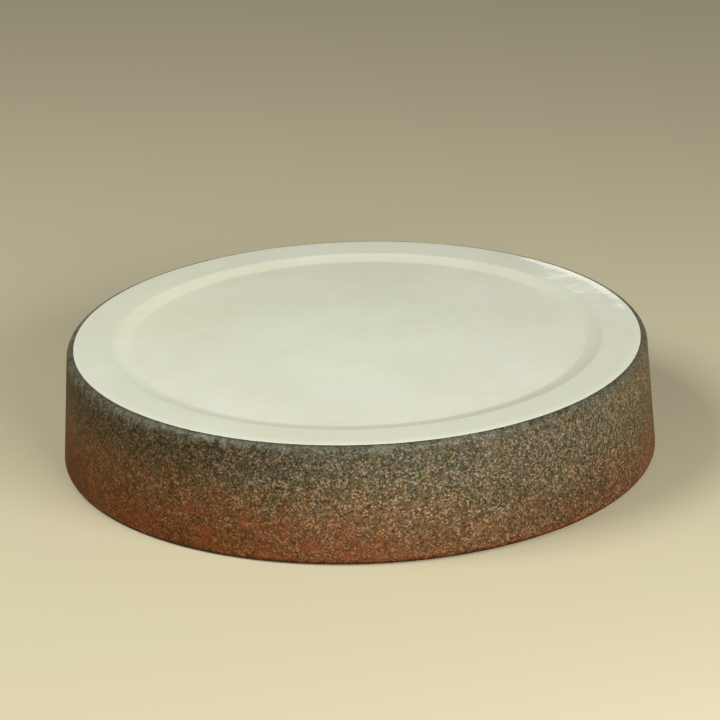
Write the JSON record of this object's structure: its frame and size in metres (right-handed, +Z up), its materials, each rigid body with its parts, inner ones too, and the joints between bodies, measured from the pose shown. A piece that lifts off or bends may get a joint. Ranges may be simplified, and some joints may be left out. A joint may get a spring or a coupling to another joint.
{
  "type": "ikebana suiban",
  "caption": "Round, wide and shallow stoneware flower basin with a leaning straight wall, a broad glazed foot ring and a speckled slip outside, stored turned over on its lip.",
  "frame": {"origin": "centre of the lip plane on the vessel's axis, which is the bottom of the vessel as it is stored, turned over", "axes": "+Z up along the vessel's axis, from the lip to the foot face; X and Y are free because the vessel is round, and the pictured side faces -Y"},
  "size_m": [0.3895, 0.3894, 0.078],
  "materials": {
    "stoneware": "unglazed fired clay",
    "speckled_slip": "satin speckled iron slip, dark at the shoulder and rust red toward the lip",
    "iron_wash": "satin rust red iron wash",
    "cream_glaze": "smooth cream glaze"
  },
  "bodies": {
    "root": {"side_wall": "stoneware", "floor_slab": "stoneware", "foot_ring": "stoneware", "corner_coil": "stoneware", "outer_slip": "speckled_slip", "rim_wash": "iron_wash", "base_glaze": "cream_glaze", "basin_glaze": "cream_glaze"}
  },
  "joints": []
}
